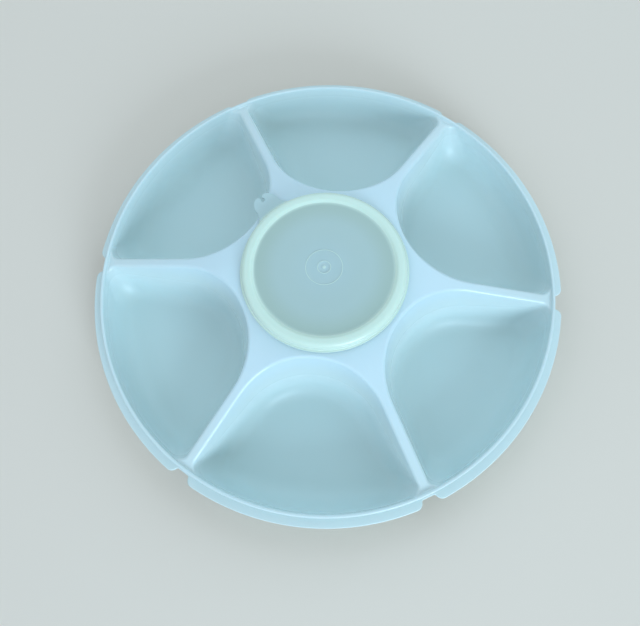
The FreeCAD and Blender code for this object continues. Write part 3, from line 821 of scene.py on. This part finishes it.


# tones pair a height or a distance from the middle with a colour, part the plastic's tint and part painted
# shade
# tray and bowl: painted shade, darker towards the table, for the light the low floors lose into the table and
# their recesses
sheerPaintedShade = dict(
    by="height", tones=((0.003, "#c4dbdb"), (0.027, "#d2e4e5"), (0.054, "#d0e7ef")),
    mattTo=0.006, satinFrom=0.040, matt=0.42, satin=0.20, milk=0.25, depth=0.0012)
# seal: the disc is painted darker than the ring and darkest at its edge, painted shade of the recess inside
# the ring; the ring's cream is its own tint
creamyPaintedShade = dict(
    by="reach", tones=(
        (0.0, "#b6cfd1"), (0.030, "#b4ccca"), (0.0450, "#aec5bd"),      # the disc
        (0.0480, "#d1e5da"), (0.0560, "#d7ebdf"),                       # the thick ring
        (0.0585, "#bdd6d8"), (0.0720, "#bdd6d8")),                      # the tab
    raisedFrom=sealHigh.z - seal["discDrop"] + 0.0001, raised="#d8eee1",      # just above the disc
    mattTo=0.040, satinFrom=0.050, matt=0.36, satin=0.26, milk=0.25, depth=0.0012)
traySheer = makePolyethylene("sheer_polyethylene", sheerPaintedShade)
bowlSheer = makePolyethylene("bowl_polyethylene", sheerPaintedShade)
sealCream = makePolyethylene("seal_polyethylene", creamyPaintedShade)
print("materials", traySheer.name, bowlSheer.name, sealCream.name)

for piece, body, node, slot, material in (
        (trayPiece, "tray", "tray", "tray_plastic", traySheer),
        (bowlPiece, "dip_bowl", "dip_bowl", "bowl_plastic", bowlSheer),
        (sealPiece, "dip_bowl_seal", "dip_bowl_seal", "seal_plastic", sealCream)):
    piece.data.materials.clear()
    piece.data.materials.append(material)
    shadeEvenly(piece)
    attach(piece, body)
    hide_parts(node)

# stage and light, colours shown as they are
bpy.context.scene.view_settings.view_transform = "Standard"

studio = dict(
    floorSize=3.0, floorColour="#e3d9cd", floorRough=0.9, skyStrength=0.50, skyColour="#f1feff",
    lamps=(      # name, azimuth, elevation, distance, size, power, tint
        ("soft_key", 300, 21, 2.2, 0.8, 26.5, "#d3ecff"),
        ("front_fill", 270, 35, 1.7, 1.4, 5.0, "#c3ddff"),
        ("room_fill", 60, 45, 1.7, 1.4, 8.4, "#c0e2fc"),
        ("wall_bounce", 190, 45, 1.7, 1.4, 3.6, "#c3ddff"),
        ("back_fill", 120, 45, 1.7, 1.4, 3.2, "#d3e8ff")),
)

bm = bmesh.new()
bmesh.ops.create_grid(bm, x_segments=1, y_segments=1, size=studio["floorSize"])
floorMesh = bpy.data.meshes.new("floor")
bm.to_mesh(floorMesh)
bm.free()
floorPiece = bpy.data.objects.new("floor", floorMesh)
bpy.context.collection.objects.link(floorPiece)
floorMaterial = bpy.data.materials.new("pale_paper")      # uncoated paper, matt all over
floorMaterial.use_nodes = True
paper = floorMaterial.node_tree.nodes["Principled BSDF"]
paper.inputs["Base Color"].default_value = linear(studio["floorColour"])
paper.inputs["Roughness"].default_value = studio["floorRough"]
floorMesh.materials.append(floorMaterial)

for name, azimuth, elevation, distance, size, power, tint in studio["lamps"]:
    light = bpy.data.lights.new(name, "AREA")
    light.size = size
    light.energy = power
    light.color = linear(tint)[:3]
    lamp = bpy.data.objects.new(name, light)
    bpy.context.collection.objects.link(lamp)
    rise = math.radians(elevation)
    lamp.location = polar(distance * math.cos(rise), math.radians(azimuth), distance * math.sin(rise))
    lamp.rotation_euler = lamp.location.to_track_quat("Z", "Y").to_euler()
world = bpy.data.worlds.new("studio")
bpy.context.scene.world = world
world.use_nodes = True
sky = world.node_tree.nodes["Background"]
sky.inputs["Color"].default_value = linear(studio["skyColour"])
sky.inputs["Strength"].default_value = studio["skyStrength"]
print("stage with", len(studio["lamps"]), "lamps")
